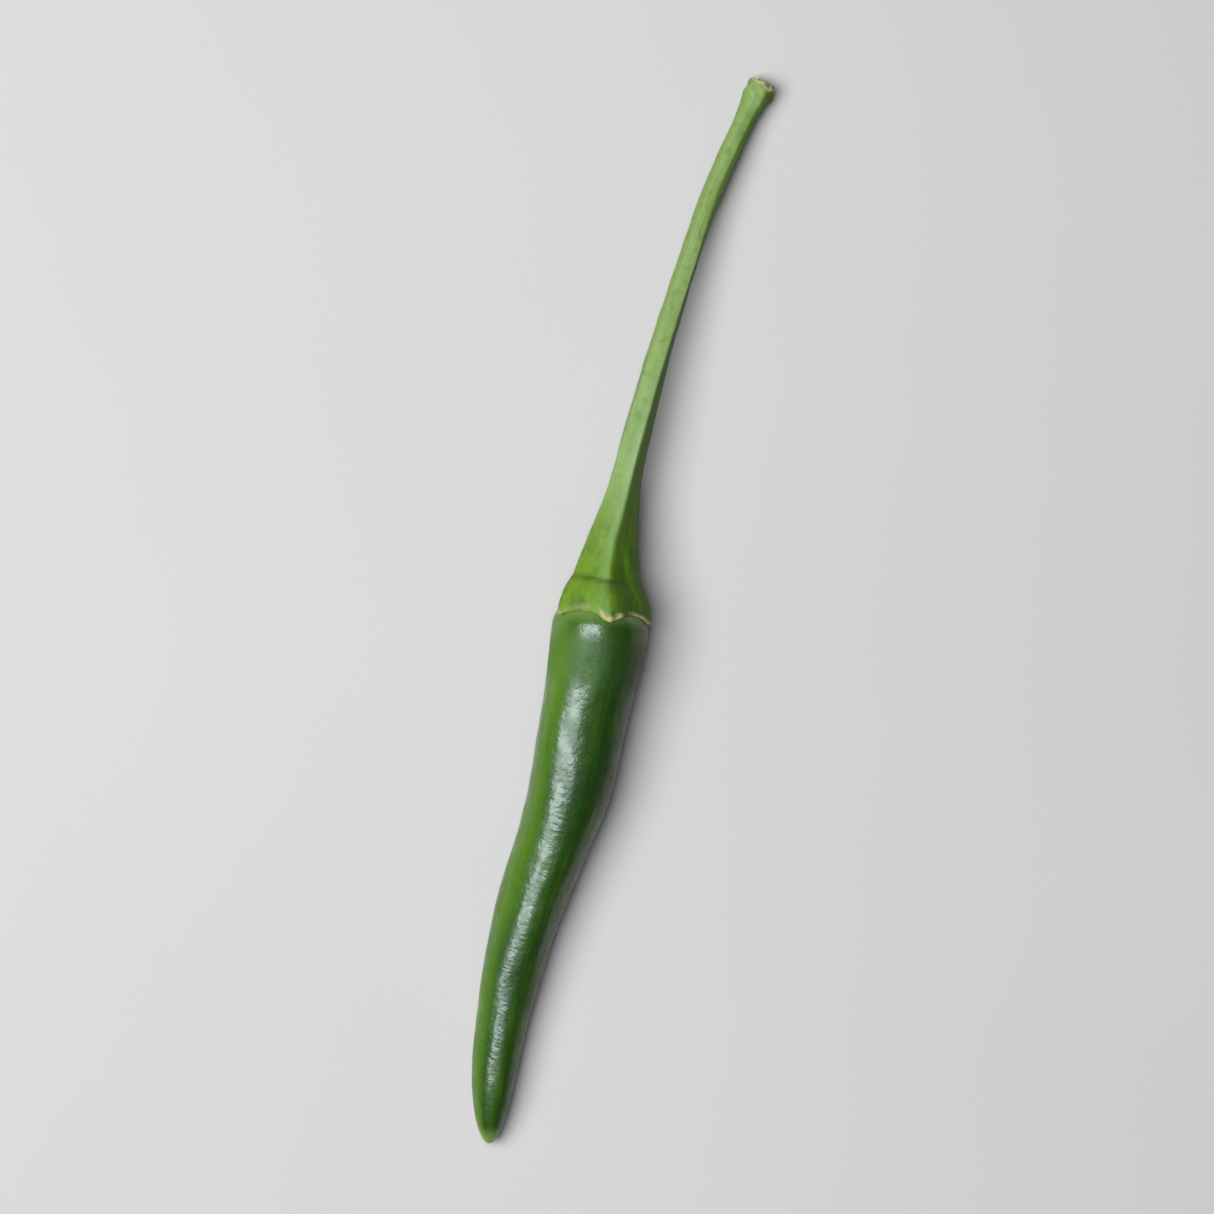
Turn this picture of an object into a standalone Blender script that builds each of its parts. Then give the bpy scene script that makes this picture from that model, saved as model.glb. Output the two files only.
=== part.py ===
"""A green chilli pepper, picked with its stem and lying on its side on a flat surface.

Three pieces: the pod, the calyx that caps its shoulder, and the stem. X runs from the pod's tip to the
stem's end, Z is up, and the origin is on the surface, under the middle of the chilli's box. Metres.

Each piece is first turned round a straight axis, where Z is the distance from the pod's tip. The turned
shape is then laid along the chilli's own curved axis.
"""

import math

import bpy
import numpy as np

# Driving dimensions
LENGTH = 0.115  # from the pod's tip to the stem's end
POD_RADIUS = 0.0051  # at the shoulder, where the pod is widest
STEM_RADIUS = 0.00106  # at the stem's thinnest

# Places along the axis, from the pod's tip
SHOULDER = 0.48 * LENGTH
RIM = 0.4975 * LENGTH  # the calyx's edge, between two teeth
CREASE = 0.526 * LENGTH  # where the calyx ends and the stem begins

BASE_DEPTH = 0.62 * POD_RADIUS  # the pod's rounded base, past the shoulder
CREASE_RADIUS = 0.68 * POD_RADIUS
GAP = 0.0003  # between two pieces that touch
CALYX_WALL = 0.0003  # at the rim
TOOTH = 0.0008  # how far a tooth of the calyx reaches past the rim
TOOTH_ROOT = 0.0012  # how far above the rim a tooth begins
LOBES = 5  # ridges of the stem, each ending in a tooth
LOBE_TURN = math.radians(101)  # the first ridge, up from the chilli's left side
RIDGE_HEIGHT = 0.07  # a ridge's height at the crease, as a share of the radius
RIDGE_FADE = 0.6  # how much of that height is gone at the stem's end
RIDGE_MEAN = 0.4  # the ridge pattern's mean, so that ridges leave the outline's size as it is
SIDE_MIDDLE = 0.0021  # how far the middle of the box lies beside the line from tip to stem end

# The pod's outline: (share of the way from tip to shoulder, share of POD_RADIUS)
POD_OUTLINE = (
    (0.0, 0.0),
    (0.034, 0.265),
    (0.10, 0.42),
    (0.20, 0.51),
    (0.35, 0.622),
    (0.52, 0.725),
    (0.62, 0.785),
    (0.71, 0.862),
    (0.85, 0.905),
    (0.93, 0.96),
    (1.0, 1.0),
)
# The stem's outline: (share of the way from crease to stem end, radius as a share of STEM_RADIUS)
STEM_OUTLINE = (
    (0.0, 3.3),
    (0.03, 2.88),
    (0.10, 2.2),
    (0.18, 1.58),
    (0.28, 1.36),
    (0.46, 1.12),
    (0.72, 1.0),
    (0.88, 1.04),
    (0.95, 1.20),
    (0.985, 1.42),
    (1.0, 1.30),
)
# The axis: (share of LENGTH, distance to the left of the line from tip to end, height)
AXIS = (
    (0.0, 0.0, 0.00180),
    (0.05, 0.00105, 0.00228),
    (0.11, 0.00180, 0.00258),
    (0.19, 0.00210, 0.00312),
    (0.26, 0.00160, 0.00360),
    (0.33, 0.00112, 0.00418),
    (0.40, 0.00165, 0.00446),
    (0.47, 0.00213, 0.00497),
    (0.525, 0.00292, 0.00522),
    (0.60, 0.00355, 0.00524),
    (0.70, 0.00360, 0.00462),
    (0.80, 0.00312, 0.00357),
    (0.90, 0.00210, 0.00240),
    (1.0, 0.0, 0.00148),
)

AROUND = 40  # facets round the pod and the calyx
STEM_AROUND = 25  # facets round the stem, five for each ridge
POD_RINGS = 34
BASE_RINGS = 7
CALYX_RINGS = 7
STEM_RINGS = 34
POD_CROWDING = 1.4  # above 1, rings stand closer together towards the tip
STEM_CROWDING = 1.3  # above 1, rings stand closer together towards the crease

POD_GREEN = (0.035, 0.13, 0.012, 1.0)
CALYX_GREEN = (0.15, 0.28, 0.05, 1.0)
STEM_GREEN = (0.21, 0.35, 0.09, 1.0)


def smooth(points, at, flat_end=False):
    """A cubic spline through (place, value) points, read at each place. flat_end levels it at the end."""
    knots, values = np.array(points, float).T
    step = np.diff(knots)
    rise = np.diff(values) / step
    count = len(knots)
    system = np.eye(count)
    bend = np.zeros(count)
    for k in range(1, count - 1):
        system[k, k - 1 : k + 2] = step[k - 1], 2 * (step[k - 1] + step[k]), step[k]
        bend[k] = 6 * (rise[k] - rise[k - 1])
    if flat_end:
        system[-1, -2:] = step[-1], 2 * step[-1]
        bend[-1] = -6 * rise[-1]
    curve = np.linalg.solve(system, bend)
    at = np.asarray(at, float)
    k = np.clip(np.searchsorted(knots, at) - 1, 0, count - 2)
    before, after = (knots[k + 1] - at) / step[k], (at - knots[k]) / step[k]
    return (
        before * values[k]
        + after * values[k + 1]
        + ((before**3 - before) * curve[k] + (after**3 - after) * curve[k + 1]) * step[k] ** 2 / 6
    )


def pod_radius(along, clear=0.0):
    """The pod's radius at each distance from its tip: the outline to the shoulder, then a quarter ellipse.

    With clear, it is the radius of a skin that stands this far off the pod's base.
    """
    along = np.asarray(along, float)
    outline = [(math.sqrt(share), radius) for share, radius in POD_OUTLINE]
    share = np.sqrt(np.clip(along / SHOULDER, 0, 1))
    past = np.clip((along - SHOULDER) / (BASE_DEPTH + clear), 0, 1)
    return (POD_RADIUS * smooth(outline, share, flat_end=True) + clear) * np.sqrt(1 - past**2)


def stem_radius(along):
    """The stem's radius at each distance from the pod's tip."""
    share = (np.asarray(along, float) - CREASE) / (LENGTH - CREASE)
    return STEM_RADIUS * smooth(STEM_OUTLINE, share)


def ridge(angle):
    """How far up a ridge each angle lies: 1 on a ridge and 0 midway between two, with narrow crests."""
    wave = np.abs(np.cos(LOBES * (angle - LOBE_TURN) / 2))
    return wave**3


def ridge_height(along):
    """The ridges' height as a share of the radius: none on the pod, most at the crease, then fading."""
    rising = np.clip((along - SHOULDER) / (CREASE - SHOULDER), 0, 1)
    fading = 1 - RIDGE_FADE * np.clip((along - CREASE) / (LENGTH - CREASE), 0, 1)
    return RIDGE_HEIGHT * rising**2 * fading


def axis_points(along):
    """The points of the chilli's axis at these distances from the pod's tip."""
    route = np.array(AXIS)
    share = along / LENGTH
    left = smooth(route[:, [0, 1]], share) - SIDE_MIDDLE
    height = smooth(route[:, [0, 2]], share)
    return np.stack([along - LENGTH / 2, left, height], axis=1)


def unit(vectors):
    return vectors / np.linalg.norm(vectors, axis=1, keepdims=True)


def lay_along_axis(points):
    """Takes points of the straight chilli to the bent one, and flattens what would be under the surface.

    A point's Z is its place on the axis. Its X becomes the offset to the left and its Y the offset upwards.
    """
    along = points[:, 2]
    nearby = 0.0005
    forward = unit(axis_points(along + nearby) - axis_points(along - nearby))
    left = unit(np.cross([0.0, 0.0, 1.0], forward))
    up = np.cross(forward, left)
    angle = np.arctan2(points[:, 1], points[:, 0])
    swell = (1 + ridge_height(along) * (ridge(angle) - RIDGE_MEAN))[:, None]
    placed = axis_points(along) + swell * (points[:, :1] * left + points[:, 1:2] * up)
    placed[:, 2] = np.maximum(placed[:, 2], 0.0)
    return placed


def finish_of(name, colour, roughness):
    material = bpy.data.materials.new(name)
    material.use_nodes = True
    shader = material.node_tree.nodes["Principled BSDF"]
    shader.inputs["Base Color"].default_value = colour
    shader.inputs["Roughness"].default_value = roughness
    shader.inputs["Metallic"].default_value = 0.0
    return material


def turned(name, outline, around):
    """A mesh turned round Z from (radius, height) points, which run down the outer side."""
    profile = bpy.data.meshes.new(name)
    points = [(radius, 0.0, height) for radius, height in outline]
    edges = [(k, k + 1) for k in range(len(points) - 1)]
    profile.from_pydata(points, edges, [])
    obj = bpy.data.objects.new(name, profile)
    chilli.objects.link(obj)
    turn = obj.modifiers.new("Turn", "SCREW")
    turn.axis = "Z"
    turn.angle = 2 * math.pi
    turn.steps = turn.render_steps = around
    turn.use_merge_vertices = True
    turn.merge_threshold = 0.00001
    graph = bpy.context.evaluated_depsgraph_get()
    mesh = bpy.data.meshes.new_from_object(obj.evaluated_get(graph))
    obj.modifiers.clear()
    obj.data = mesh
    bpy.data.meshes.remove(profile)
    return obj


def reshape(obj, change):
    """Gives each vertex the place that change works out from an array of them all."""
    points = np.empty(len(obj.data.vertices) * 3, np.float32)
    obj.data.vertices.foreach_get("co", points)
    moved = change(points.reshape(-1, 3).astype(float))
    obj.data.vertices.foreach_set("co", moved.astype(np.float32).ravel())
    obj.data.update()


def finish(obj, colour, roughness):
    obj.data.shade_smooth()
    obj.data.set_sharp_from_angle(angle=math.radians(50))
    obj.data.materials.append(finish_of(obj.name, colour, roughness))


def make_pod():
    """The fruit itself, one solid from its blunt tip to the rounded base under the calyx."""
    turn = np.linspace(math.pi / 2, 0, BASE_RINGS + 1)
    base = SHOULDER + BASE_DEPTH * np.sin(turn)
    body = SHOULDER * np.linspace(1, 0, POD_RINGS + 1)[1:] ** POD_CROWDING
    heights = np.concatenate([base, body])
    radii = pod_radius(heights)
    radii[[0, -1]] = 0.0
    pod = turned("pod", zip(radii, heights), AROUND)
    reshape(pod, lay_along_axis)
    finish(pod, POD_GREEN, 0.25)


def toothed(points):
    """Draws the calyx's rim out into teeth that follow the pod, one below each ridge."""
    angle = np.arctan2(points[:, 1], points[:, 0])
    radius = np.hypot(points[:, 0], points[:, 1])
    down = np.clip(1 - (points[:, 2] - RIM) / TOOTH_ROOT, 0, 1)
    reach = TOOTH * down**2 * ridge(angle)
    lifted = radius + pod_radius(points[:, 2] - reach, GAP) - pod_radius(points[:, 2], GAP)
    scale = (lifted / np.maximum(radius, GAP))[:, None]
    return np.column_stack([points[:, :2] * scale, points[:, 2] - reach])


def make_calyx():
    """The cup left by the flower, which hugs the pod's shoulder and ends in five small teeth."""
    down = np.linspace(0, 1, CALYX_RINGS)
    outer_heights = CREASE + (RIM - CREASE) * down
    rim_radius = pod_radius(RIM, GAP + CALYX_WALL)
    outer_radii = CREASE_RADIUS + (rim_radius - CREASE_RADIUS) * np.sin(down * math.pi / 2)
    roof = SHOULDER + BASE_DEPTH + GAP
    lowest = math.asin((RIM - SHOULDER) / (roof - SHOULDER))
    inner_heights = SHOULDER + (roof - SHOULDER) * np.sin(np.linspace(lowest, math.pi / 2, CALYX_RINGS))
    outline = [(0.0, CREASE)]
    outline += list(zip(outer_radii, outer_heights))
    outline += list(zip(pod_radius(inner_heights, GAP), inner_heights))
    outline[-1] = (0.0, roof)
    calyx = turned("calyx", outline, AROUND)
    reshape(calyx, lambda points: lay_along_axis(toothed(points)))
    finish(calyx, CALYX_GREEN, 0.55)


def make_stem():
    """The stalk, from its flare on the calyx to the knob where it was picked."""
    start = CREASE + GAP
    heights = start + (LENGTH - start) * np.linspace(1, 0, STEM_RINGS) ** STEM_CROWDING
    outline = [(0.0, LENGTH)]
    outline += list(zip(stem_radius(heights), heights))
    outline += [(0.0, start)]
    stem = turned("stem", outline, STEM_AROUND)
    reshape(stem, lay_along_axis)
    finish(stem, STEM_GREEN, 0.5)


for leftover in list(bpy.data.objects):
    bpy.data.objects.remove(leftover)
chilli = bpy.data.collections.new("chilli_pepper")
bpy.context.scene.collection.children.link(chilli)
make_pod()
make_calyx()
make_stem()
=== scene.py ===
"""Green chilli pepper: a glossy pod, its toothed calyx and its ridged stem, lying on a pale surface.

Every piece is a closed surface worked out over two parameters. The first is the place along the chilli,
in metres from the pod's tip. The second is the angle round its axis, which is 0 on the chilli's left
side and a quarter turn on top.
"""

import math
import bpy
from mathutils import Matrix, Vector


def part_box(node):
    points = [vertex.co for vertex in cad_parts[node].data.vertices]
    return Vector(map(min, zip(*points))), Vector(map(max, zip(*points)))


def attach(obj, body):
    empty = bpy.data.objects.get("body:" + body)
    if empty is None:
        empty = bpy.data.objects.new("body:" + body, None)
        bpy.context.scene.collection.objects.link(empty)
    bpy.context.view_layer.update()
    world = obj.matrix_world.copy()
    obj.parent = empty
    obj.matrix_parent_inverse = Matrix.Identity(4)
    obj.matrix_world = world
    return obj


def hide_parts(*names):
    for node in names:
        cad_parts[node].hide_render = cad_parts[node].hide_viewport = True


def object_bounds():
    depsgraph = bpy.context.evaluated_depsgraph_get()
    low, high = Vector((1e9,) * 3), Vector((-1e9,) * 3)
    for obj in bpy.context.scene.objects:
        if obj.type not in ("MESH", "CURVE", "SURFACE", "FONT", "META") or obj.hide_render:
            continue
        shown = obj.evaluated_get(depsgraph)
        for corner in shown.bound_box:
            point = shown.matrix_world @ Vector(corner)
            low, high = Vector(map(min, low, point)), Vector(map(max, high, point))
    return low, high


bl_info = {
    "name": "Green Chilli Pepper",
    "version": (1, 0, 0),
    "blender": (4, 5, 0),
    "location": "3D View > Sidebar > Chilli",
    "description": "Makes the pod, calyx and stem of a green chilli pepper, with its surface and light",
    "category": "Add Mesh",
}

import bpy
import numpy as np
from bpy.props import FloatProperty, FloatVectorProperty, IntProperty, PointerProperty
from mathutils import Matrix, Vector

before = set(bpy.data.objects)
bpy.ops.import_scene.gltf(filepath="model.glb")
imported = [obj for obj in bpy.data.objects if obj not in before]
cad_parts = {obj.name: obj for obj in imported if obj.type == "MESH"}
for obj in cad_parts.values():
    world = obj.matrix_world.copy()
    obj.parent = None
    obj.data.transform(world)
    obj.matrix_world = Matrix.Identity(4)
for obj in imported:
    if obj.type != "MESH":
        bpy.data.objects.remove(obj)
CAD_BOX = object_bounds()

TIP_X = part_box("pod")[0].x
LENGTH = -2 * TIP_X  # the frame's origin is halfway between the pod's tip and the stem's end

# The pod's outline: (share of the way from tip to shoulder, share of the pod's radius)
POD_OUTLINE = (
    (0.0, 0.0),
    (0.034, 0.265),
    (0.10, 0.42),
    (0.20, 0.51),
    (0.35, 0.622),
    (0.52, 0.725),
    (0.62, 0.785),
    (0.71, 0.862),
    (0.85, 0.905),
    (0.93, 0.96),
    (1.0, 1.0),
)
# The stem's outline: (share of the way from crease to stem end, share of the stem's radius)
STEM_OUTLINE = (
    (0.0, 3.3),
    (0.03, 2.88),
    (0.10, 2.2),
    (0.18, 1.58),
    (0.28, 1.36),
    (0.46, 1.12),
    (0.72, 1.0),
    (0.88, 1.04),
    (0.95, 1.20),
    (0.985, 1.42),
    (1.0, 1.30),
)
# The axis: (share of the length, distance to the left of the line from tip to end, height)
AXIS = (
    (0.0, 0.0, 0.00180),
    (0.05, 0.00105, 0.00228),
    (0.11, 0.00180, 0.00258),
    (0.19, 0.00210, 0.00312),
    (0.26, 0.00160, 0.00360),
    (0.33, 0.00112, 0.00418),
    (0.40, 0.00165, 0.00446),
    (0.47, 0.00213, 0.00497),
    (0.525, 0.00292, 0.00522),
    (0.60, 0.00355, 0.00524),
    (0.70, 0.00360, 0.00462),
    (0.80, 0.00312, 0.00357),
    (0.90, 0.00210, 0.00240),
    (1.0, 0.0, 0.00148),
)
# The ridges' twist: (share of the length, share of the whole twist)
TWIST = (
    (0.0, 0.0),
    (0.49, 0.0),
    (0.526, -0.14),
    (0.56, -0.13),
    (0.585, 0.02),
    (0.61, 0.14),
    (0.652, 0.26),
    (0.71, 0.42),
    (0.783, 0.62),
    (0.90, 0.85),
    (1.0, 1.0),
)
SIDE_MIDDLE = 0.0021  # how far the middle of the box lies beside the line from tip to stem end

# The pod's three-sided swells: (middle along the axis, half length, share of the radius, angle of a crest)
SIDED_SWELLS = (
    (0.009, 0.006, 0.034, math.radians(112)),
    (0.027, 0.006, 0.046, math.radians(112)),
    (0.044, 0.007, 0.038, math.radians(39)),
)

# Places along the axis, as shares of the length
SHOULDER = 0.48  # where the pod is widest
RIM = 0.4975  # the calyx's edge, between two teeth
CREASE = 0.526  # where the calyx ends and the stem begins
DULL = 0.4525  # the middle of the pod's duller band
DULL_REACH = 0.0225  # from that middle to where the band fades

CREASE_DIP = 0.010  # the groove at the crease, as a share of the radius
TAU = 2 * math.pi


class ChilliSizes(bpy.types.PropertyGroup):
    """The chilli's sizes"""

    length: FloatProperty(
        name="Length",
        description="From the pod's tip to the stem's end",
        default=LENGTH,
        min=0.02,
        unit="LENGTH",
    )
    pod_radius: FloatProperty(
        name="Pod Radius",
        description="The pod's radius at its shoulder",
        default=0.0051,
        min=0.001,
        unit="LENGTH",
    )
    stem_radius: FloatProperty(
        name="Stem Radius",
        description="The stem's radius where it is thinnest",
        default=0.00106,
        min=0.0002,
        unit="LENGTH",
    )
    base_depth: FloatProperty(
        name="Base Depth",
        description="How far the pod's rounded base reaches past its shoulder, as a share of its radius",
        default=0.66,
        min=0.1,
        subtype="FACTOR",
    )
    crease_radius: FloatProperty(
        name="Crease Radius",
        description="The calyx's radius where the stem begins, as a share of the pod's radius",
        default=0.686,
        min=0.1,
        subtype="FACTOR",
    )
    calyx_clear: FloatProperty(
        name="Calyx Clearance",
        description="The gap between the calyx and the pod",
        default=0.00004,
        unit="LENGTH",
    )
    calyx_wall: FloatProperty(
        name="Calyx Wall",
        description="The calyx's thickness at its rim",
        default=0.00020,
        unit="LENGTH",
    )
    tooth: FloatProperty(
        name="Tooth",
        description="How far a tooth of the calyx reaches past its rim",
        default=0.00085,
        unit="LENGTH",
    )
    ridges: IntProperty(
        name="Ridges",
        description="How many ridges the stem has, each ending in a tooth of the calyx",
        default=5,
        min=3,
    )
    ridge_turn: FloatProperty(
        name="Ridge Turn",
        description="The angle of the first ridge, up from the chilli's left side",
        default=math.radians(101),
        subtype="ANGLE",
    )
    stem_twist: FloatProperty(
        name="Stem Twist",
        description="How far the ridges turn between the crease and the stem's end",
        default=math.radians(48),
        subtype="ANGLE",
    )
    wrinkle: FloatProperty(
        name="Wrinkle",
        description="The height of the fine wrinkles that cross the pod",
        default=0.0000018,
        unit="LENGTH",
    )


class ChilliColours(bpy.types.PropertyGroup):
    """The colours of the chilli and of the surface under it"""

    pod_deep: FloatVectorProperty(
        name="Pod Deep Green",
        description="The pod's main colour",
        default=(0.0085, 0.043, 0.001),
        subtype="COLOR",
    )
    # Also the painted light that makes the pod's left flank lighter and yellower, besides its own lighter
    # patches
    pod_bright: FloatVectorProperty(
        name="Pod Bright Green",
        description="The pod's lighter, yellower patches and flank",
        default=(0.080, 0.172, 0.001),
        subtype="COLOR",
    )
    pod_pale: FloatVectorProperty(
        name="Pod Pale Green",
        description="The pod's tip and the skin next to the calyx",
        default=(0.20, 0.31, 0.068),
        subtype="COLOR",
    )
    calyx_green: FloatVectorProperty(
        name="Calyx Green",
        description="The calyx's main colour",
        default=(0.115, 0.202, 0.013),
        subtype="COLOR",
    )
    # Also the painted shade to the right of the first ridge of the calyx and the stem, besides the calyx's
    # own mottling
    calyx_dark: FloatVectorProperty(
        name="Calyx Dark Green",
        description="The mottling of the calyx",
        default=(0.031, 0.070, 0.002),
        subtype="COLOR",
    )
    stem_green: FloatVectorProperty(
        name="Stem Green",
        description="The stem's main colour",
        default=(0.188, 0.264, 0.073),
        subtype="COLOR",
    )
    stem_groove: FloatVectorProperty(
        name="Stem Groove Green",
        description="The stem's grooves",
        default=(0.092, 0.166, 0.026),
        subtype="COLOR",
    )
    # Painted sheen along the ridges of the calyx and the stem
    painted_crest_sheen: FloatVectorProperty(
        name="Crest Pale Green",
        description="The bloom along the ridges of the calyx and the stem",
        default=(0.208, 0.305, 0.14),
        subtype="COLOR",
    )
    dry: FloatVectorProperty(
        name="Dry Cream",
        description="The dry edge of the calyx and the scar at the stem's end",
        default=(0.38, 0.325, 0.15),
        subtype="COLOR",
    )
    dry_brown: FloatVectorProperty(
        name="Dry Brown",
        description="The darkest spots of the dry places",
        default=(0.12, 0.083, 0.042),
        subtype="COLOR",
    )
    surface: FloatVectorProperty(
        name="Surface",
        description="The surface under the chilli",
        default=(0.455, 0.412, 0.387),
        subtype="COLOR",
    )


def smooth(points, at, level_end=False):
    """A natural cubic spline through (place, value) points: piecewise cubics with an even bend.

    With level_end, the curve is level at its last point.
    """
    knots, values = np.array(points, float).T
    step = np.diff(knots)
    rise = np.diff(values) / step
    inner = np.arange(1, len(knots) - 1)
    system = np.eye(len(knots))
    system[inner, inner - 1] = step[:-1]
    system[inner, inner] = 2 * (step[:-1] + step[1:])
    system[inner, inner + 1] = step[1:]
    bend = np.zeros(len(knots))
    bend[inner] = 6 * np.diff(rise)
    if level_end:
        system[-1, -2:] = step[-1], 2 * step[-1]
        bend[-1] = -6 * rise[-1]
    curve = np.linalg.solve(system, bend)
    at = np.asarray(at, float)
    k = np.clip(np.searchsorted(knots, at) - 1, 0, len(knots) - 2)
    before, after = (knots[k + 1] - at) / step[k], (at - knots[k]) / step[k]
    curved = (before**3 - before) * curve[k] + (after**3 - after) * curve[k + 1]
    return before * values[k] + after * values[k + 1] + curved * step[k] ** 2 / 6


def eased(value, low, high):
    """0 below low, 1 above high, and between them 3t^2 - 2t^3 of the way t from low to high."""
    t = np.clip((value - low) / (high - low), 0, 1)
    return t * t * (3 - 2 * t)


def bell(value, width):
    """A bell curve: e to the power of minus the square of value in widths, so 1 where value is 0."""
    return np.exp(-((value / width) ** 2))


def turn_from(middle, angle):
    """How far angle is turned from the middle one, between half a turn back and half a turn on."""
    return np.angle(np.exp(1j * (angle - middle)))


def waves(seed, count, along, angle, lengths, orders):
    """A seeded sum of waves over the surface, scaled so that its usual height is 1.

    Each is cos(turn * along / length + order * angle + phase). Its length lies between the two lengths,
    and its order, a whole number so that it closes round the chilli, between the two orders.
    """
    draw = np.random.default_rng(seed)
    total = np.zeros(np.broadcast(along, angle).shape)
    for _ in range(count):
        length = lengths[0] * (lengths[1] / lengths[0]) ** draw.random()
        order = draw.integers(orders[0], orders[1] + 1) * draw.choice((-1, 1))
        total += np.cos(TAU * along / length + order * angle + TAU * draw.random())
    return total / math.sqrt(count / 2)


def pod_radius(sizes, along, clear=0.0):
    """The pod's radius: the outline up to the shoulder, then a full-cheeked quarter ellipse over the base.

    The ellipse's squares are 2.2nd powers. With clear, it is the radius of a skin that stands this far off.
    """
    shoulder = SHOULDER * sizes.length
    outline = [(math.sqrt(share), radius) for share, radius in POD_OUTLINE]
    share = np.sqrt(np.clip(along / shoulder, 0, 1))
    past = np.clip((along - shoulder) / (sizes.base_depth * sizes.pod_radius + clear), 0, 1)
    radius = sizes.pod_radius * smooth(outline, share, level_end=True)
    return (radius + clear) * (1 - past**2.2) ** (1 / 2.2)


def fullness(sizes, radius):
    """1 where the radius is at least half of the shoulder's, and falling evenly to 0 at the pod's ends."""
    return np.clip(radius / (0.5 * sizes.pod_radius), 0, 1)


def pod_shape(sizes, along, angle, clear=0.0):
    """The pod's uneven radius: the smooth radius times low lobes, plus waves for its swells and dents.

    The lobes are cosines of two and three times the angle, which turn slowly along the pod, and the sided
    swells, which are cosines of three times the angle under a bell curve. All of it fades out towards the
    pod's ends.
    """
    radius = pod_radius(sizes, along, clear)
    full = fullness(sizes, radius)
    lobes = 0.011 * np.cos(3 * angle + 25 * along + 0.6) + 0.008 * np.cos(2 * angle - 60 * along)
    for middle, reach, height, crest in SIDED_SWELLS:
        lobes = lobes + height * bell(along - middle, reach) * np.cos(3 * (angle - crest))
    swells = 0.000028 * waves(11, 14, along, angle, (0.008, 0.024), (0, 3))
    dents = 0.000006 * waves(12, 60, along, angle, (0.0018, 0.0050), (2, 8))
    return np.where(radius > 0, radius * (1 + lobes * full) + (swells + dents) * full**2, 0)


def stem_radius(sizes, along):
    """The stem's radius: the stem's outline, stretched from the crease to the stem's end."""
    share = (along / sizes.length - CREASE) / (1 - CREASE)
    return sizes.stem_radius * smooth(STEM_OUTLINE, share)


def ridge_angle(sizes, along, angle):
    """The angle from the first ridge, which turns by the twist's table towards the stem's end."""
    return angle - sizes.ridge_turn - sizes.stem_twist * smooth(TWIST, along / sizes.length)


def many_sided(sides, angle, roundness):
    """The outline of a regular shape with rounded corners, 1 at a corner, where angle is 0.

    It is the inverse of the power mean of how far each flat side faces the angle. A high power is sharp.
    """
    middles = TAU * (np.arange(sides) + 0.5) / sides
    facing = np.maximum(np.cos(angle[..., None] - middles), 0)
    radius = (facing**roundness).sum(-1) ** (-1 / roundness)
    corner = (2 * math.cos(math.pi / sides) ** roundness) ** (-1 / roundness)
    return radius / corner


def faceting(sizes, along, angle):
    """How the ridges change the radius of the calyx's top and of the stem: 1 on average.

    It is a rounded shape with as many sides as ridges, less its mean. Its strength is greatest at the
    crease and eases off in two steps up the stem.
    """
    mean = 0.91
    up_stem = (along / sizes.length - CREASE) / (1 - CREASE)
    strength = 0.90 - 0.15 * eased(up_stem, 0.2, 0.7) - 0.45 * eased(up_stem, 0.72, 0.95)
    return 1 + strength * (many_sided(sizes.ridges, ridge_angle(sizes, along, angle), 20) - mean)


def side_crest(sizes, along, angle):
    """A low extra crest, in metres, that slants across the calyx's right side and fades out up the stem.

    It is a bell curve round a middle angle, which moves evenly to the left on the way up, less a second bell
    curve 20 degrees to its left, which hollows the skin beside it.
    """
    up = (along - RIM * sizes.length) / 0.008
    middle = sizes.ridge_turn + math.radians(62) - math.radians(34) * np.clip(up, 0, 1.2)
    turned = turn_from(middle, angle)
    crest = 0.00013 * bell(turned, math.radians(12))
    hollow = 0.00012 * bell(turned + math.radians(20), math.radians(11))
    return (crest - hollow) * (1 - eased(up, 0.55, 1.1))


def crease_depth(angle):
    """How deep and dark the crease is: a cosine of the angle, 1 at 50 degrees up from the left side."""
    return 0.6 + 0.4 * np.cos(angle - math.radians(50))


def ridge_marks(sizes, along, angle):
    """Marks the calyx and the stem share: crease, crest and shade, each from 0 to 1.

    The crease is a bell curve round a wavy line where the two meet. The crest is a painted sheen, a bell
    curve 9 degrees to the left of each ridge, strongest 12 mm up the stem and weak in the shade. The shade
    is painted shade over the half turn to the right of the first ridge, and it eases 35 degrees further left
    from 30 to 45 mm up the stem.
    """
    turned = ridge_angle(sizes, along, angle)
    up = along - CREASE * sizes.length
    wavy = up + 0.00016 * waves(23, 9, along * 0, angle, (1, 2), (1, 7))
    # Painted shade: a deeper green over the half turn right of the first ridge, the side turned from the
    # light
    shade = eased(np.sin(turned + math.radians(35) * eased(up, 0.030, 0.045)), -0.02, 0.24)
    from_ridge = turn_from(0, sizes.ridges * turned) / sizes.ridges
    # Painted sheen along the crests, on their lit left side and weak in the painted shade
    sheen = (0.12 + 0.42 * bell(up - 0.012, 0.009)) * (1 - 0.85 * shade)
    return {
        "crease": bell(wavy, 0.00042) * crease_depth(angle),
        "crest": sheen * bell(from_ridge + math.radians(9), math.radians(9)),
        "shade": shade,
    }


def scallop(sizes, angle):
    """How far the rim reaches at each angle: 1 at a tooth's point and 0 midway, in round arches.

    It is 1 less the size of the sine of half the ridges' turn.
    """
    return 1 - np.abs(np.sin(sizes.ridges * (angle - sizes.ridge_turn) / 2))


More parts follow.
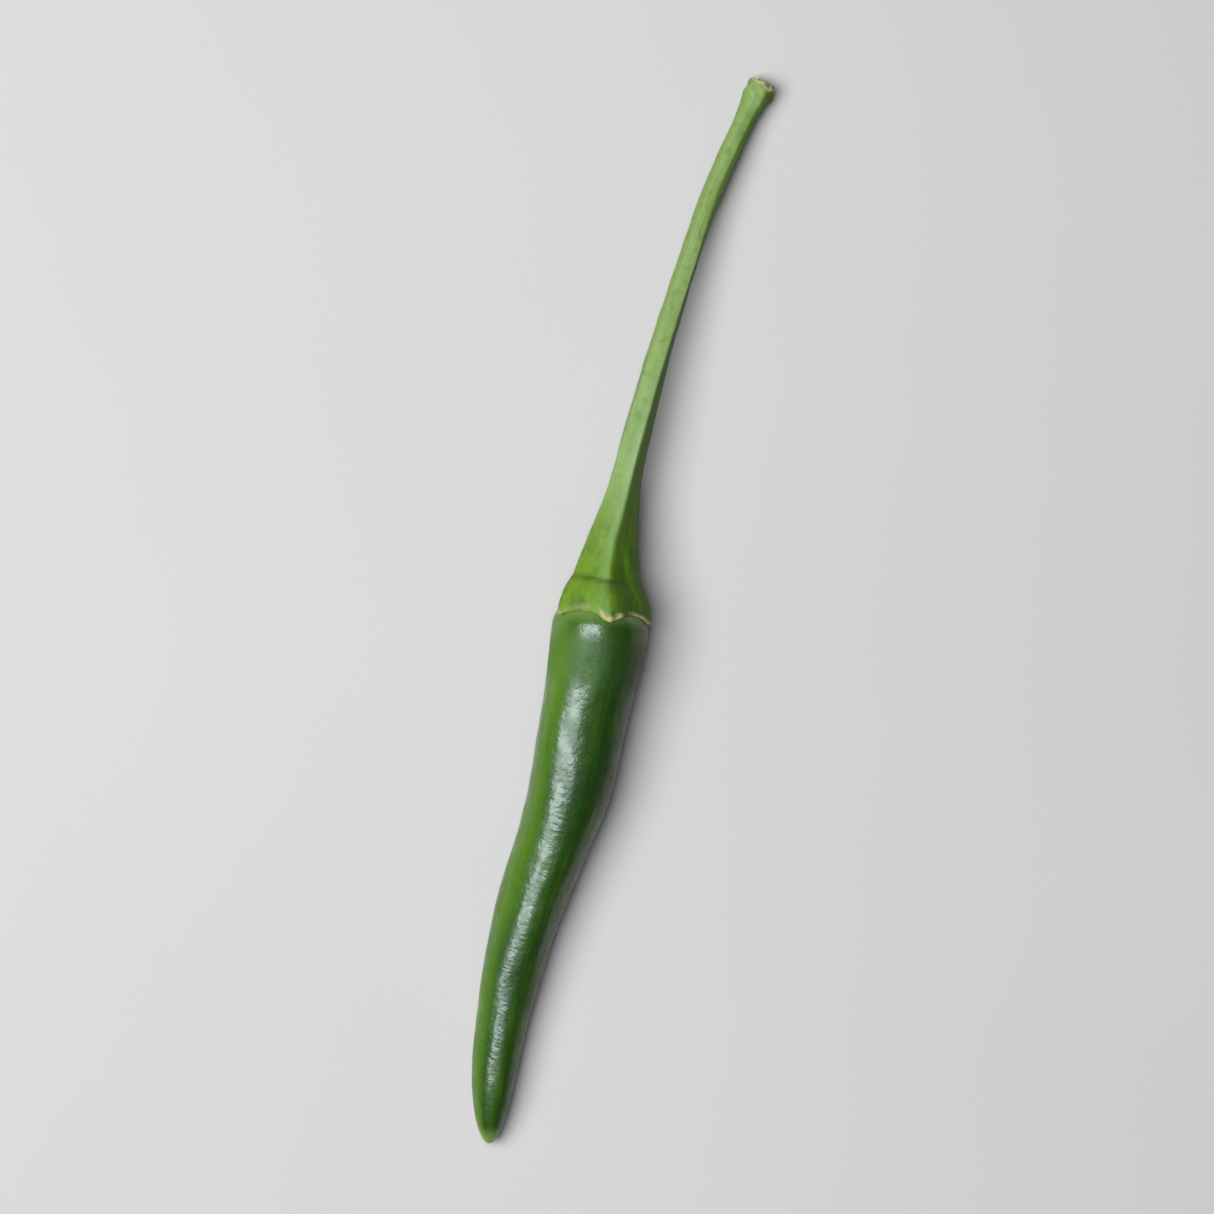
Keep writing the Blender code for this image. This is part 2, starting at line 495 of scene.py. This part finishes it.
def axis_frame(sizes, along):
    """The axis's point and its left and up directions, square to the axis, at each place along it.

    Forward is the way from one nearby point to another. Left is the cross product of straight up and
    forward, and up is that of forward and left.
    """

    def point(place):
        """Splines through the axis's table give how far left the point lies, and how high."""
        share = place / sizes.length
        left = smooth([(row[0], row[1]) for row in AXIS], share) - SIDE_MIDDLE
        height = smooth([(row[0], row[2]) for row in AXIS], share)
        return np.stack([TIP_X + place, left, height], axis=-1)

    nearby = 0.0005
    forward = point(along + nearby) - point(along - nearby)
    forward /= np.linalg.norm(forward, axis=-1, keepdims=True)
    left = np.cross([0.0, 0.0, 1.0], forward)
    left /= np.linalg.norm(left, axis=-1, keepdims=True)
    return point(along), left, np.cross(forward, left)


def lay_along_axis(sizes, along, angle, radius):
    """Surface points: the axis's point, plus the radius times the turned left and up directions.

    What would sink below the surface is pressed flat: the height becomes half the sum of itself and of
    the root of its square plus a small square.
    """
    centre, left, up = axis_frame(sizes, along)
    out = np.cos(angle)[..., None] * left + np.sin(angle)[..., None] * up
    points = centre + radius[..., None] * out
    give = 0.00008
    height = points[..., 2]
    points[..., 2] = (height + np.sqrt(height**2 + give**2)) / 2
    return points


def closed_surface(name, points, marks):
    """An object from rings of points, whose first and last rings are single points where it closes.

    Neighbouring points of neighbouring rings make four-sided faces, and the two end rings make fans. Each
    mark is an attribute with one value, or one set of three, for each point.
    """
    rings, around = points.shape[:2]
    index = 1 + np.arange((rings - 2) * around).reshape(rings - 2, around)
    after = np.roll(index, -1, axis=1)
    quads = np.stack([index[:-1], after[:-1], after[1:], index[1:]], axis=-1).reshape(-1, 4)
    last = (rings - 2) * around + 1
    start_fan = np.stack([np.zeros(around, int), after[0], index[0]], axis=-1)
    end_fan = np.stack([np.full(around, last), index[-1], after[-1]], axis=-1)

    def flat(values):
        """One value for each end's single point, and every value of the rings between."""
        return np.concatenate([values[:1, 0], values[1:-1].reshape(-1, *values.shape[2:]), values[-1:, 0]])

    mesh = bpy.data.meshes.new(name)
    mesh.from_pydata(flat(points), [], [*quads.tolist(), *start_fan.tolist(), *end_fan.tolist()])
    for mark, values in marks.items():
        kind, field = ("FLOAT_VECTOR", "vector") if values.ndim == 3 else ("FLOAT", "value")
        attribute = mesh.attributes.new(mark, kind, "POINT")
        attribute.data.foreach_set(field, flat(values).astype(np.float32).ravel())
    mesh.shade_smooth()
    mesh.set_sharp_from_angle(angle=math.radians(32))
    mesh.validate()
    piece = bpy.data.objects.new(name, mesh)
    bpy.context.scene.collection.objects.link(piece)
    return piece


def straightened(along, angle, radius):
    """Each point's place on a straight chilli, so that patterns run along it and round it."""
    return np.stack([along, radius * np.cos(angle), radius * np.sin(angle)], axis=-1)


def add(tree, kind, inputs=None, **settings):
    """Adds a shader node. Its inputs are values, or the sockets to link them from."""
    made = tree.nodes.new("ShaderNode" + kind)
    for key, value in settings.items():
        setattr(made, key, value)
    for key, value in (inputs or {}).items():
        if isinstance(value, bpy.types.NodeSocket):
            tree.links.new(value, made.inputs[key])
        else:
            made.inputs[key].default_value = value
    return made


def attribute(tree, name, output="Fac"):
    """The value of one of the piece's marks."""
    return add(tree, "Attribute", attribute_name=name).outputs[output]


def stretched(tree, vector, along, across):
    """Scales a pattern's coordinates: features per metre along the chilli, and across it."""
    mapping = add(tree, "Mapping", {"Vector": vector, "Scale": (along, across, across)})
    return mapping.outputs["Vector"]


def noise(tree, vector, detail=2.0, roughness=0.5, distortion=0.0):
    """Soft noise from 0 to 1, with one feature for each unit of its coordinates."""
    inputs = {"Vector": vector, "Scale": 1.0, "Detail": detail, "Roughness": roughness}
    inputs["Distortion"] = distortion
    return add(tree, "TexNoise", inputs).outputs["Fac"]


def spread(tree, value, low, high, start=0.0, end=1.0):
    """Takes low to start and high to end, eased and held outside them."""
    inputs = {"Value": value, "From Min": low, "From Max": high, "To Min": start, "To Max": end}
    return add(tree, "MapRange", inputs, interpolation_type="SMOOTHSTEP").outputs["Result"]


def summed(tree, first, second):
    """first plus second."""
    return add(tree, "Math", {0: first, 1: second}, operation="ADD").outputs["Value"]


def times(tree, first, second):
    """first times second."""
    return add(tree, "Math", {0: first, 1: second}, operation="MULTIPLY").outputs["Value"]


def larger(tree, first, second):
    """The larger of first and second."""
    return add(tree, "Math", {0: first, 1: second}, operation="MAXIMUM").outputs["Value"]


def mixed(tree, factor, first, second):
    """first where factor is 0 and second where it is 1."""
    made = add(tree, "Mix", {"Factor": factor}, data_type="RGBA")
    for key, value in (("A", first), ("B", second)):
        socket = next(item for item in made.inputs if item.name == key and item.type == "RGBA")
        if isinstance(value, bpy.types.NodeSocket):
            tree.links.new(value, socket)
        else:
            socket.default_value = (*value, 1.0)
    return next(item for item in made.outputs if item.type == "RGBA")


def bumped(tree, height, depth, under=None):
    """Raises the surface by height times depth, in metres."""
    inputs = {"Height": height, "Distance": depth, "Strength": 1.0}
    if under is not None:
        inputs["Normal"] = under
    return add(tree, "Bump", inputs).outputs["Normal"]


def new_finish(name):
    """A new material, with its tree and its shader."""
    finish = bpy.data.materials.new(name)
    finish.use_nodes = True
    tree = finish.node_tree
    return finish, tree, tree.nodes["Principled BSDF"]


def pod_finish(colours):
    """Waxy deep green skin with lengthwise streaks; painted light makes the left flank lighter and yellower,
    and painted shade makes the right one deeper.

    It has pale ends, a duller band below the calyx, fine wrinkles and pits, and a clear shine in patches,
    which is weaker on the right flank.
    """
    finish, tree, shader = new_finish("waxy_pod_skin")
    place = attribute(tree, "straight", "Vector")

    patches = noise(tree, stretched(tree, place, 70, 260), detail=3.0, roughness=0.55)
    streaks = noise(tree, stretched(tree, place, 60, 1500), detail=3.0, roughness=0.6)
    blotch = summed(tree, times(tree, patches, 0.65), times(tree, streaks, 0.35))
    flank = attribute(tree, "flank")
    neck = times(tree, attribute(tree, "neck"), 0.10)
    # Painted light: the left flank is lighter and yellower; the neck and the blotches are the skin's own
    # lighter patches
    bright = summed(tree, spread(tree, flank, 0.42, 0.88, 0.0, 0.53), neck)
    bright = summed(tree, spread(tree, blotch, 0.38, 0.68, 0.0, 0.30), bright)
    # Painted shade: the right flank is darkened towards black by up to a half
    deep = mixed(tree, spread(tree, flank, -0.75, 0.15, 0.5, 0.0), colours.pod_deep, (0, 0, 0))
    skin = mixed(tree, bright, deep, colours.pod_bright)

    ends = times(tree, attribute(tree, "pale"), spread(tree, patches, 0.25, 0.6, 0.55, 1.0))
    skin = mixed(tree, ends, skin, colours.pod_pale)
    tree.links.new(skin, shader.inputs["Base Color"])

    cross = noise(tree, stretched(tree, place, 1800, 1450), detail=2.5, roughness=0.55, distortion=0.5)
    pits = spread(tree, noise(tree, stretched(tree, place, 2400, 1500), detail=1.0), 0.50, 0.25)
    normal = bumped(tree, cross, 0.000040)
    normal = bumped(tree, pits, -0.000008, normal)
    tree.links.new(normal, shader.inputs["Normal"])
    tree.links.new(normal, shader.inputs["Coat Normal"])

    dull = times(tree, attribute(tree, "dull"), spread(tree, patches, 0.35, 0.6, 0.5, 1.0))
    rough = spread(tree, cross, 0.3, 0.75, 0.33, 0.43)
    tree.links.new(summed(tree, rough, times(tree, dull, 0.22)), shader.inputs["Roughness"])
    shine = spread(tree, noise(tree, stretched(tree, place, 480, 850), detail=3.0), 0.40, 0.60, 0.12, 0.52)
    shine = times(tree, shine, spread(tree, dull, 0.0, 0.7, 1.0, 0.0))
    shine = times(tree, shine, spread(tree, flank, -0.95, -0.55, 0.25, 1.0))
    tree.links.new(shine, shader.inputs["Coat Weight"])

    shader.inputs["Metallic"].default_value = 0.0
    shader.inputs["IOR"].default_value = 1.45
    shader.inputs["Subsurface Weight"].default_value = 0.12
    shader.inputs["Subsurface Radius"].default_value = (0.5, 1.0, 0.12)
    shader.inputs["Subsurface Scale"].default_value = 0.0012
    shader.inputs["Coat Roughness"].default_value = 0.14
    shader.inputs["Coat IOR"].default_value = 1.5
    return finish


def mottled(tree, place, colours):
    """The calyx's mottled colour, which runs on over the stem's root, and its two noises.

    It is darker in a soft band round the crease.
    """
    mottle = noise(tree, stretched(tree, place, 430, 560), detail=3.0, roughness=0.55)
    ribs = noise(tree, stretched(tree, place, 160, 2000), detail=2.0, roughness=0.5)
    dark = times(tree, spread(tree, mottle, 0.38, 0.68), 0.55)
    dark = summed(tree, dark, spread(tree, ribs, 0.5, 0.78, 0.0, 0.22))
    band = times(tree, attribute(tree, "crease"), spread(tree, mottle, 0.35, 0.55, 0.45, 0.95))
    dark = larger(tree, dark, band)
    return mixed(tree, dark, colours.calyx_green, colours.calyx_dark), mottle, ribs


def shaded(tree, skin, colours):
    """The skin with painted shade, a deeper green to the right of the first ridge, and with a painted sheen
    that makes the crests paler.
    """
    # Painted shade: a deeper green to the right of the first ridge
    skin = mixed(tree, times(tree, attribute(tree, "shade"), 0.78), skin, colours.calyx_dark)
    # Painted sheen: paler green just left of each ridge
    return mixed(tree, attribute(tree, "crest"), skin, colours.painted_crest_sheen)


def calyx_finish(colours):
    """Matt yellow-green skin, mottled and finely ribbed, with a dry cream and brown rim."""
    finish, tree, shader = new_finish("matt_calyx_skin")
    place = attribute(tree, "straight", "Vector")

    skin, mottle, ribs = mottled(tree, place, colours)
    # Painted shade to the right of the first ridge, and a painted sheen along the crests
    skin = shaded(tree, skin, colours)

    ragged = noise(tree, stretched(tree, place, 1700, 1700), detail=3.0)
    reach = summed(tree, attribute(tree, "rim"), spread(tree, ragged, 0.3, 0.7, -0.22, 0.22))
    withered = spread(tree, noise(tree, stretched(tree, place, 300, 420)), 0.38, 0.58, 0.15, 1.0)
    skin = mixed(tree, times(tree, spread(tree, reach, 0.25, 0.9), withered), skin, colours.dry)
    burnt = noise(tree, stretched(tree, place, 2300, 1300), detail=3.0)
    burnt = times(tree, spread(tree, reach, 0.8, 1.05), spread(tree, burnt, 0.52, 0.68, 0.0, 0.8))
    skin = mixed(tree, burnt, skin, colours.dry_brown)
    tree.links.new(skin, shader.inputs["Base Color"])

    normal = bumped(tree, ribs, 0.00006)
    normal = bumped(tree, mottle, 0.00005, normal)
    tree.links.new(normal, shader.inputs["Normal"])
    tree.links.new(spread(tree, reach, 0.4, 1.0, 0.55, 0.85), shader.inputs["Roughness"])
    shader.inputs["Specular IOR Level"].default_value = 0.2
    shader.inputs["Subsurface Weight"].default_value = 0.15
    shader.inputs["Subsurface Radius"].default_value = (0.6, 1.0, 0.2)
    shader.inputs["Subsurface Scale"].default_value = 0.0008
    return finish


def stem_finish(colours):
    """Matt pale green skin with lengthwise grooves and specks, and a dry scar at the end."""
    finish, tree, shader = new_finish("matt_stem_skin")
    place = attribute(tree, "straight", "Vector")

    fibres = noise(tree, stretched(tree, place, 110, 3000), detail=3.0, roughness=0.55)
    broad = noise(tree, stretched(tree, place, 150, 800), detail=3.0)
    fleck = noise(tree, stretched(tree, place, 1100, 1100), detail=2.0)
    dark = spread(tree, fibres, 0.45, 0.75, 0.0, 0.2)
    dark = summed(tree, dark, spread(tree, broad, 0.45, 0.7, 0.0, 0.35))
    dark = summed(tree, dark, spread(tree, fleck, 0.52, 0.72, 0.0, 0.4))
    dark = summed(tree, dark, times(tree, attribute(tree, "groove"), 0.06))
    skin = mixed(tree, dark, colours.stem_green, colours.stem_groove)
    root, mottle, ribs = mottled(tree, place, colours)
    skin = mixed(tree, attribute(tree, "root"), skin, root)
    # Painted shade to the right of the first ridge, and a painted sheen along the crests
    skin = shaded(tree, skin, colours)

    specks = add(
        tree,
        "TexVoronoi",
        {"Vector": stretched(tree, place, 700, 1300), "Scale": 1.0, "Randomness": 1.0},
        feature="F1",
    ).outputs["Distance"]
    skin = mixed(tree, spread(tree, specks, 0.08, 0.17, 0.28, 0.0), skin, colours.dry_brown)

    ragged = noise(tree, stretched(tree, place, 1800, 1800), detail=3.0)
    end = summed(tree, attribute(tree, "scar"), spread(tree, ragged, 0.3, 0.7, -0.3, 0.3))
    skin = mixed(tree, spread(tree, end, 0.4, 0.8), skin, colours.dry)
    burnt = times(tree, spread(tree, end, 0.75, 1.1), spread(tree, ragged, 0.42, 0.60, 0.25, 0.9))
    skin = mixed(tree, burnt, skin, colours.dry_brown)
    tree.links.new(skin, shader.inputs["Base Color"])

    normal = bumped(tree, fibres, 0.000035)
    normal = bumped(tree, ragged, 0.000012, normal)
    rooted = times(tree, summed(tree, ribs, mottle), attribute(tree, "root"))
    normal = bumped(tree, rooted, 0.00005, normal)
    tree.links.new(normal, shader.inputs["Normal"])
    tree.links.new(spread(tree, end, 0.3, 0.9, 0.52, 0.85), shader.inputs["Roughness"])
    shader.inputs["Specular IOR Level"].default_value = 0.2
    shader.inputs["Subsurface Weight"].default_value = 0.15
    shader.inputs["Subsurface Radius"].default_value = (0.7, 1.0, 0.3)
    shader.inputs["Subsurface Scale"].default_value = 0.0008
    return finish


def surface_finish(colours):
    """A matt pale surface with barely visible unevenness."""
    finish, tree, shader = new_finish("pale_surface")
    place = add(tree, "TexCoord").outputs["Object"]
    grain = noise(tree, stretched(tree, place, 9, 9), detail=3.0)
    darker = [0.97 * part for part in colours.surface]
    colour = mixed(tree, spread(tree, grain, 0.3, 0.7), colours.surface, darker)
    tree.links.new(colour, shader.inputs["Base Color"])
    shader.inputs["Roughness"].default_value = 0.7
    shader.inputs["Specular IOR Level"].default_value = 0.25
    return finish


def fit_out(piece, node, finish):
    """Gives a piece its finish, and lets it stand for its node of the frame."""
    piece.data.materials.append(finish)
    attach(piece, "root")
    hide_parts(node)


class CHILLI_OT_make_pod(bpy.types.Operator):
    """Make the pod: the outline turned round the axis, with soft lobes, dents and fine cross wrinkles"""

    bl_idname = "chilli.make_pod"
    bl_label = "Make Pod"
    bl_options = {"REGISTER", "UNDO"}

    def execute(self, context):
        sizes = context.scene.chilli_sizes
        rings, base_rings, around = 820, 26, 112
        crowding = 1.25  # above 1, rings stand closer together towards the tip
        shoulder = SHOULDER * sizes.length
        depth = sizes.base_depth * sizes.pod_radius
        body = shoulder * np.linspace(0, 1, rings) ** crowding
        base = shoulder + depth * np.sin(np.linspace(0, math.pi / 2, base_rings + 1)[1:])
        along, angle = np.meshgrid(
            np.concatenate([body, base]), np.linspace(0, TAU, around, endpoint=False), indexing="ij"
        )

        radius = pod_shape(sizes, along, angle)
        across = waves(13, 110, along, angle, (0.0004, 0.0011), (0, 14))
        strands = waves(14, 50, along, angle, (0.004, 0.016), (9, 22))
        fine = sizes.wrinkle * (across + 2 * strands) * fullness(sizes, radius) ** 2
        points = lay_along_axis(sizes, along, angle, radius + fine)

        # Marks from 0 to 1, save the flank's, which falls from 1 on the left side to -1 on the right and
        # places the pod's painted light and shade
        share = along / sizes.length
        rim = RIM * sizes.length
        marks = {
            "straight": straightened(along, angle, radius),
            "flank": np.cos(angle - math.radians(5)),
            "pale": 0.75 * (1 - eased(along, 0.0002, 0.0022)) + 0.55 * eased(along, rim - 0.0016, rim),
            "dull": np.exp(-(((share - DULL) / DULL_REACH) ** 4)),
            "neck": eased(share, 0.38, 0.49),
        }
        pod = closed_surface("pod_skin", points, marks)
        fit_out(pod, "pod", pod_finish(context.scene.chilli_colours))
        return {"FINISHED"}


class CHILLI_OT_make_calyx(bpy.types.Operator):
    """Make the calyx: a thin cup over the pod's shoulder, with a rib down to each tooth of its rim"""

    bl_idname = "chilli.make_calyx"
    bl_label = "Make Calyx"
    bl_options = {"REGISTER", "UNDO"}

    def execute(self, context):
        sizes = context.scene.chilli_sizes
        around = 260
        angle = np.linspace(0, TAU, around, endpoint=False)[None, :]
        crease = CREASE * sizes.length
        ragged = 0.00003 * waves(21, 16, angle * 0, angle, (1, 2), (6, 30))
        rim = RIM * sizes.length - sizes.tooth * scallop(sizes, angle) + ragged

        # Inside, from the roof over the pod's base down to the rim
        inside = np.linspace(0, 1, 28)[:, None] ** 0.6
        roof = SHOULDER * sizes.length + sizes.base_depth * sizes.pod_radius + sizes.calyx_clear
        inner_along = roof + (rim - roof) * inside
        inner_radius = pod_shape(sizes, inner_along, angle, sizes.calyx_clear)

        # Over the rim, half a turn round the wall's thickness
        over = np.linspace(0, math.pi, 9)[1:-1, None]
        thick = sizes.calyx_wall
        rim_radius = pod_shape(sizes, rim, angle, sizes.calyx_clear)
        over_along = rim - 0.5 * thick * np.sin(over)
        over_radius = rim_radius + 0.5 * thick * (1 - np.cos(over))

        # Outside, from the rim up to the crease: a cosine's bulge, with ribs, a side crest and low waves
        outside = np.linspace(0, 1, 70)[:, None]
        outer_along = rim + (crease - rim) * outside
        crease_radius = sizes.crease_radius * sizes.pod_radius * faceting(sizes, outer_along, angle)
        bulge = np.cos(outside * math.pi / 2) ** 0.9
        outer_radius = crease_radius + (rim_radius + thick - crease_radius) * bulge
        turned = ridge_angle(sizes, outer_along, angle)
        ribs = 0.00022 * bell(np.sin(sizes.ridges * turned / 2), 0.22)
        outer_radius = outer_radius + ribs * (1 - outside**2)
        outer_radius = outer_radius + side_crest(sizes, outer_along, angle) * eased(outside, 0, 0.35)
        uneven = 0.000018 * waves(22, 50, outer_along, angle, (0.0012, 0.006), (6, 34))
        outer_radius = outer_radius + uneven * (1 - outside**6)
        dip = CREASE_DIP * crease_depth(angle) * bell(outside - 1, 0.12)
        outer_radius = outer_radius * (1 - dip)

        # Over the top, from the crease in to the axis
        inward = np.linspace(1, 0, 8)[1:, None]
        top_radius = outer_radius[-1:] * inward
        top_along = crease + 0.00012 * np.sin(math.pi * inward) + 0 * angle

        along = np.concatenate([inner_along, over_along, outer_along, top_along])
        radius = np.concatenate([inner_radius, over_radius, outer_radius, top_radius])
        radius[[0, -1]] = 0
        angles = np.broadcast_to(angle, along.shape)
        points = lay_along_axis(sizes, along, angles, radius)
        edge_width = 0.8 + 0.5 * np.cos(angle - math.radians(35))  # the dry edge's, in mm
        marks = {
            "straight": straightened(along, angles, radius),
            "rim": 1 - eased((along - rim) / edge_width, -0.0001, 0.0010),
            **ridge_marks(sizes, along, angles),
        }
        calyx = closed_surface("calyx_cup", points, marks)
        fit_out(calyx, "calyx", calyx_finish(context.scene.chilli_colours))
        return {"FINISHED"}


class CHILLI_OT_make_stem(bpy.types.Operator):
    """Make the stem: a ridged and grooved stalk that twists a little and ends in a knob with a scar"""

    bl_idname = "chilli.make_stem"
    bl_label = "Make Stem"
    bl_options = {"REGISTER", "UNDO"}

    def execute(self, context):
        sizes = context.scene.chilli_sizes
        around = 160
        crease = CREASE * sizes.length
        end = sizes.length
        angle = np.linspace(0, TAU, around, endpoint=False)[None, :]

        # The side: the outline, faceted by the ridges, with grooves, low waves and a knobbly end
        crowding = 1.2  # above 1, rings stand closer together towards the crease
        rows = np.linspace(0, 1, 420)[:, None] ** crowding
        side_along = crease + (end - crease) * rows + 0 * angle
        up_stem = (side_along - crease) / (end - crease)
        side_radius = stem_radius(sizes, side_along) * faceting(sizes, side_along, angle)
        side_radius = side_radius + side_crest(sizes, side_along, angle)
        grown = eased(side_along, crease, crease + 0.0015)
        turned = ridge_angle(sizes, side_along, angle)
        grooves = waves(31, 36, side_along, turned, (0.03, 0.2), (7, 24))
        side_radius = side_radius * (1 + 0.006 * grooves * grown * (1 - 0.5 * eased(up_stem, 0.2, 0.5)))
        side_radius = side_radius + 0.00002 * grown * waves(32, 30, side_along, angle, (0.002, 0.02), (0, 4))
        dip = CREASE_DIP * crease_depth(angle) * bell(side_along - crease, 0.0004)
        side_radius = side_radius * (1 - dip)
        knobs = waves(33, 14, side_along, angle, (0.001, 0.004), (1, 7))
        side_radius = side_radius * (1 + 0.03 * eased(up_stem, 0.93, 0.98) * knobs)

        # The root, flat and hidden inside the calyx's top
        outward = np.linspace(0, 1, 6)[:-1, None]
        root_along = crease + 0 * outward + 0 * angle
        root_radius = side_radius[:1] * outward

        # The scar: a lip, half a sine high, round a shallow dish
        inward = np.linspace(1, 0, 26)[1:, None]
        dish = 0.00022 * np.sin(math.pi * inward) ** 0.8 - 0.00010 * (1 - inward**4)
        ragged = 0.00003 * waves(34, 24, inward * 0.001, angle, (0.0003, 0.001), (1, 9)) * inward
        end_along = end + dish + ragged
        end_radius = side_radius[-1:] * inward

        along = np.concatenate([root_along, side_along, end_along])
        radius = np.concatenate([root_radius, side_radius, end_radius])
        radius[[0, -1]] = 0
        angles = np.broadcast_to(angle, along.shape)
        points = lay_along_axis(sizes, along, angles, radius)
        scar_reach = 0.00045 + 0.0005 * (1 - np.cos(angle - math.radians(10)))  # down the knob's side
        groove = 1 - many_sided(sizes.ridges, ridge_angle(sizes, along, angles), 10)
        marks = {
            "straight": straightened(along, angles, radius),
            "scar": eased((along - end) / scar_reach, -1, 0),
            "groove": eased(groove, 0.08, 0.18),
            "root": 1 - eased(along, crease, crease + 0.013),
            **ridge_marks(sizes, along, angles),
        }
        stem = closed_surface("stem_stalk", points, marks)
        fit_out(stem, "stem", stem_finish(context.scene.chilli_colours))
        return {"FINISHED"}


def soft_light(name, place, aim, size, power, colour, turn):
    """A rectangular soft light at place, facing aim, whose first side is turned from the chilli's axis."""
    data = bpy.data.lights.new(name, "AREA")
    data.shape = "RECTANGLE"
    data.size, data.size_y = size
    data.energy = power
    data.color = colour
    light = bpy.data.objects.new(name, data)
    back = (Vector(place) - Vector(aim)).normalized()
    side = Vector((math.cos(turn), math.sin(turn), 0.0))
    side = (side - side.dot(back) * back).normalized()
    rotation = Matrix((side, back.cross(side), back)).transposed()
    light.matrix_world = Matrix.Translation(place) @ rotation.to_4x4()
    bpy.context.scene.collection.objects.link(light)
    return light


class CHILLI_OT_make_stage(bpy.types.Operator):
    """Make the pale surface, the soft studio light and the camera, which looks straight down"""

    bl_idname = "chilli.make_stage"
    bl_label = "Make Stage"
    bl_options = {"REGISTER", "UNDO"}

    def execute(self, context):
        scene = context.scene
        reach = 3.0  # from the middle of the surface to its sides
        corners = [(-reach, -reach, 0), (reach, -reach, 0), (reach, reach, 0), (-reach, reach, 0)]
        mesh = bpy.data.meshes.new("pale_surface")
        mesh.from_pydata(corners, [], [(0, 1, 2, 3)])
        surface = bpy.data.objects.new("pale_surface", mesh)
        scene.collection.objects.link(surface)
        surface.data.materials.append(surface_finish(scene.chilli_colours))

        middle = (CAD_BOX[0] + CAD_BOX[1]) / 2
        key = soft_light(
            "long_key",
            place=(-0.05, 0.235, 0.615),
            aim=middle,
            size=(0.40, 0.60),
            power=9.2,
            colour=(0.85, 0.94, 1.0),
            turn=math.radians(20),
        )
        key.visible_camera = False

        world = bpy.data.worlds.new("studio")
        world.use_nodes = True
        backdrop = world.node_tree.nodes["Background"]
        backdrop.inputs["Color"].default_value = (0.80, 0.84, 0.88, 1.0)
        backdrop.inputs["Strength"].default_value = 0.07
        scene.world = world

        camera_data = bpy.data.cameras.new("above")
        camera_data.lens = 180
        camera_data.sensor_width = 36
        camera_data.clip_start, camera_data.clip_end = 0.01, 20
        camera = bpy.data.objects.new("above", camera_data)
        tilt = math.radians(14.5)  # how far the chilli leans to the right in the view
        filled = 0.88  # the share of the view's height that the chilli takes up
        view_height = (CAD_BOX[1].x - CAD_BOX[0].x) * math.cos(tilt) / filled
        distance = view_height * camera_data.lens / camera_data.sensor_width
        up = Vector((math.cos(tilt), math.sin(tilt), 0.0))
        back = Vector((0.0, 0.0, 1.0))
        rotation = Matrix((up.cross(back), up, back)).transposed()
        camera.matrix_world = Matrix.Translation(middle + distance * back) @ rotation.to_4x4()
        scene.collection.objects.link(camera)
        scene.camera = camera
        scene.view_settings.view_transform = "Standard"
        return {"FINISHED"}


class CHILLI_PT_sidebar(bpy.types.Panel):
    """Lists the chilli's pieces, sizes and colours"""

    bl_idname = "CHILLI_PT_sidebar"
    bl_label = "Green Chilli Pepper"
    bl_space_type = "VIEW_3D"
    bl_region_type = "UI"
    bl_category = "Chilli"

    def draw(self, context):
        layout = self.layout
        for operator in OPERATORS:
            layout.operator(operator.bl_idname)
        for group in (context.scene.chilli_sizes, context.scene.chilli_colours):
            box = layout.box()
            for name in group.__annotations__:
                box.prop(group, name)


OPERATORS = (CHILLI_OT_make_pod, CHILLI_OT_make_calyx, CHILLI_OT_make_stem, CHILLI_OT_make_stage)
CLASSES = (ChilliSizes, ChilliColours, *OPERATORS, CHILLI_PT_sidebar)


def register():
    """Registers the classes, and gives the scene the chilli's sizes and colours."""
    for item in CLASSES:
        bpy.utils.register_class(item)
    bpy.types.Scene.chilli_sizes = PointerProperty(type=ChilliSizes)
    bpy.types.Scene.chilli_colours = PointerProperty(type=ChilliColours)


def unregister():
    """Takes away what register gave, in the opposite order."""
    del bpy.types.Scene.chilli_colours
    del bpy.types.Scene.chilli_sizes
    for item in reversed(CLASSES):
        bpy.utils.unregister_class(item)


def main():
    """Makes the stage and the three pieces."""
    register()
    bpy.ops.chilli.make_stage()
    bpy.ops.chilli.make_pod()
    bpy.ops.chilli.make_calyx()
    bpy.ops.chilli.make_stem()


if __name__ == "__main__":
    main()
